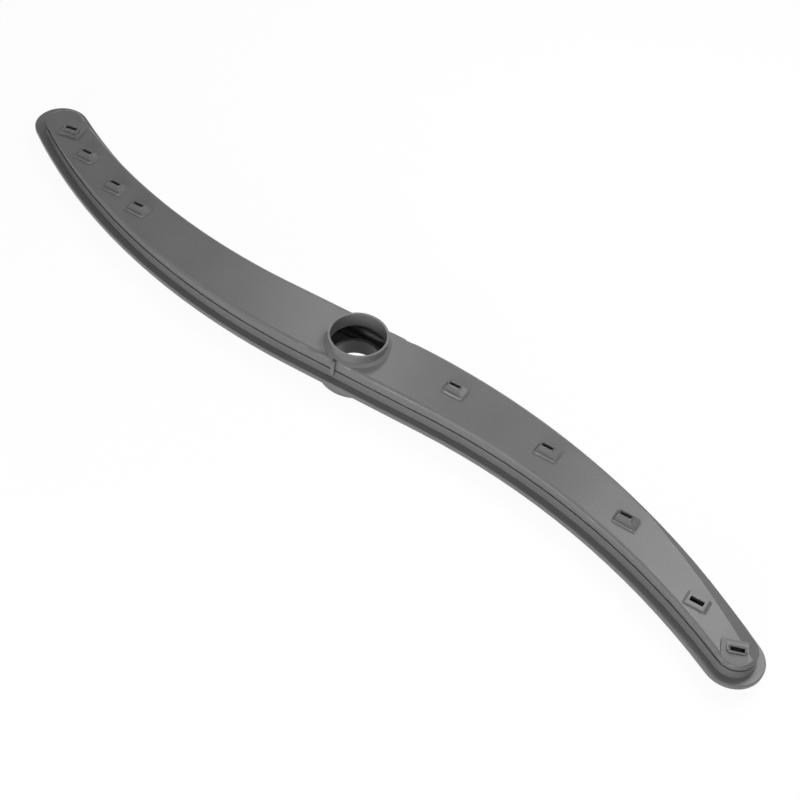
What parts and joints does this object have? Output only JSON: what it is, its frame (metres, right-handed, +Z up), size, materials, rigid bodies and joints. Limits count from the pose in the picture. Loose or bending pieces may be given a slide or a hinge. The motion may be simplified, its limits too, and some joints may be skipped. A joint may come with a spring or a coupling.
{
  "type": "dishwasher spray arm",
  "caption": "Slim S-curved hollow spray arm with slotted nozzles along its top and a round hub collar, made to spin on a dishwasher's water inlet.",
  "frame": {"origin": "on the hub axis, at the foot of the lower collar", "axes": "+X along the arm where it crosses the hub, +Z up along the hub axis, nozzles on the +Z side"},
  "size_m": [0.46, 0.1316, 0.0242],
  "materials": {
    "lower_shell": "satin moulded grey polypropylene",
    "upper_shell": "satin moulded grey polypropylene"
  },
  "bodies": {
    "root": {"lower_shell": "lower_shell", "upper_shell": "upper_shell"}
  },
  "joints": []
}
